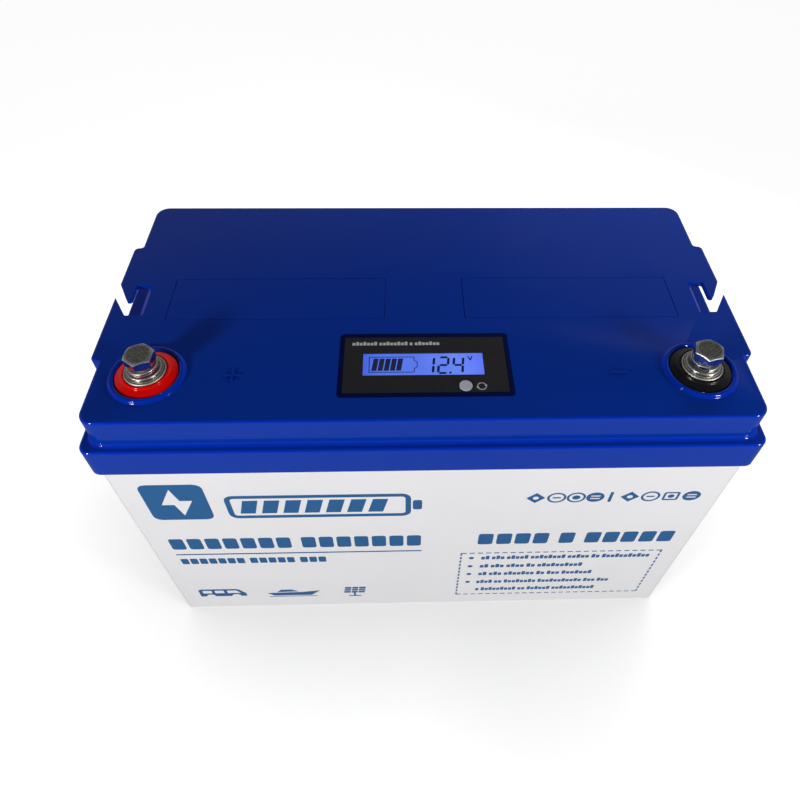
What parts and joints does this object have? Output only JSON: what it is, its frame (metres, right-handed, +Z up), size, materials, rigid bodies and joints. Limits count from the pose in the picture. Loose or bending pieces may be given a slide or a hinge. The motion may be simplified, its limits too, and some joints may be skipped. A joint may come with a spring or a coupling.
{
  "type": "deep cycle battery",
  "caption": "Flat-sided 12 V deep cycle battery: white case, blue lid with hook-slotted grip tabs, bolt terminals and a small backlit charge display.",
  "frame": {"origin": "centre of the base, on the tray it stands on", "axes": "+X along the long side from the positive terminal's end to the negative terminal's end, +Y to the back, away from the terminals, +Z up"},
  "size_m": [0.332, 0.174, 0.2273],
  "materials": {
    "case_white": "fine-textured moulded ABS",
    "lid_blue": "satin moulded ABS with a soft sheen",
    "bezel_navy": "smooth dark navy frame",
    "red_insert": "satin red moulding",
    "black_plastic": "black moulding",
    "post_metal": "tinned brass, bright rim",
    "bolt_steel": "stainless steel, turned and stamped",
    "copper": "bare copper",
    "aluminium": "plain aluminium",
    "cell_can": "aluminium can in a blue film sleeve",
    "board_green": "green lacquered circuit board",
    "fibre_board": "glass-fibre sheet",
    "foam": "closed-cell foam",
    "window_clear": "clear acrylic",
    "lcd_blue": "blue backlit liquid crystal panel",
    "diffuser": "white light guide",
    "button_grey": "grey button cap",
    "rubber_black": "black seal",
    "strap_black": "woven polyester strap",
    "cable_red": "red cable sleeve",
    "cable_black": "black cable sleeve"
  },
  "bodies": {
    "root": {"case": "case_white", "lid": "lid_blue", "cover_strip_left": "lid_blue", "cover_strip_right": "lid_blue", "terminal_insert_positive": "red_insert", "terminal_insert_negative": "black_plastic", "terminal_post_positive": "post_metal", "terminal_post_negative": "post_metal", "display_bezel": "bezel_navy", "display_faceplate": "black_plastic", "display_window": "window_clear", "lid_seal": "rubber_black", "terminal_nut_positive": "post_metal", "terminal_nut_negative": "post_metal", "cable_lug_positive": "copper", "cable_lug_negative": "copper", "lug_screw_positive": "bolt_steel", "lug_screw_negative": "bolt_steel", "cable_positive": "cable_red", "cable_negative": "cable_black", "busbar_positive": "copper", "busbar_negative": "copper", "end_plate_left": "fibre_board", "end_plate_right": "fibre_board", "foam_left": "foam", "foam_right": "foam", "lcd_panel": "lcd_blue", "lcd_backlight": "diffuser", "display_board": "board_green", "display_housing": "black_plastic", "push_switch": "black_plastic", "display_cable": "cable_black", "cell_1": "cell_can", "cell_2": "cell_can", "cell_3": "cell_can", "cell_4": "cell_can", "cell_spacer_1": "fibre_board", "cell_spacer_2": "fibre_board", "cell_spacer_3": "fibre_board", "cell_link_1": "aluminium", "cell_link_2": "aluminium", "cell_link_3": "aluminium", "pack_strap_lower": "strap_black", "pack_strap_upper": "strap_black", "foam_base": "foam", "bms_tray": "black_plastic", "bms_board": "board_green", "bms_heat_sink": "aluminium", "cable_pack_negative": "cable_black", "cell_sense_harness": "cable_black", "temperature_sensor": "cable_black"},
    "button": {"display_button": "button_grey", "switch_plunger": "black_plastic"},
    "washers_positive": {"flat_washer_positive": "bolt_steel", "spring_washer_positive": "bolt_steel"},
    "bolt_positive": {"terminal_bolt_positive": "bolt_steel"},
    "washers_negative": {"flat_washer_negative": "bolt_steel", "spring_washer_negative": "bolt_steel"},
    "bolt_negative": {"terminal_bolt_negative": "bolt_steel"}
  },
  "joints": [
    {"name": "button_press", "type": "slide", "parent": "root", "child": "button", "axis": [0, 0, -1], "range_m": [0, 0.0005], "stiffness_N_per_m": 800},
    {"name": "positive_bolt_lift", "type": "slide", "parent": "root", "child": "washers_positive", "axis": [0, 0, 1], "range_m": [0, 0.01005]},
    {"name": "positive_bolt_turn", "type": "hinge", "parent": "washers_positive", "child": "bolt_positive", "pos_m": [-0.1352, -0.054, 0.222], "axis": [0, 0, 1], "range_deg": [0, 2880]},
    {"name": "negative_bolt_lift", "type": "slide", "parent": "root", "child": "washers_negative", "axis": [0, 0, 1], "range_m": [0, 0.01005]},
    {"name": "negative_bolt_turn", "type": "hinge", "parent": "washers_negative", "child": "bolt_negative", "pos_m": [0.1352, -0.054, 0.222], "axis": [0, 0, 1], "range_deg": [0, 2880]}
  ],
  "couplings": [
    {"joint": "positive_bolt_lift", "follows": "positive_bolt_turn", "m_per_rad": 0.00019894},
    {"joint": "negative_bolt_lift", "follows": "negative_bolt_turn", "m_per_rad": 0.00019894}
  ]
}
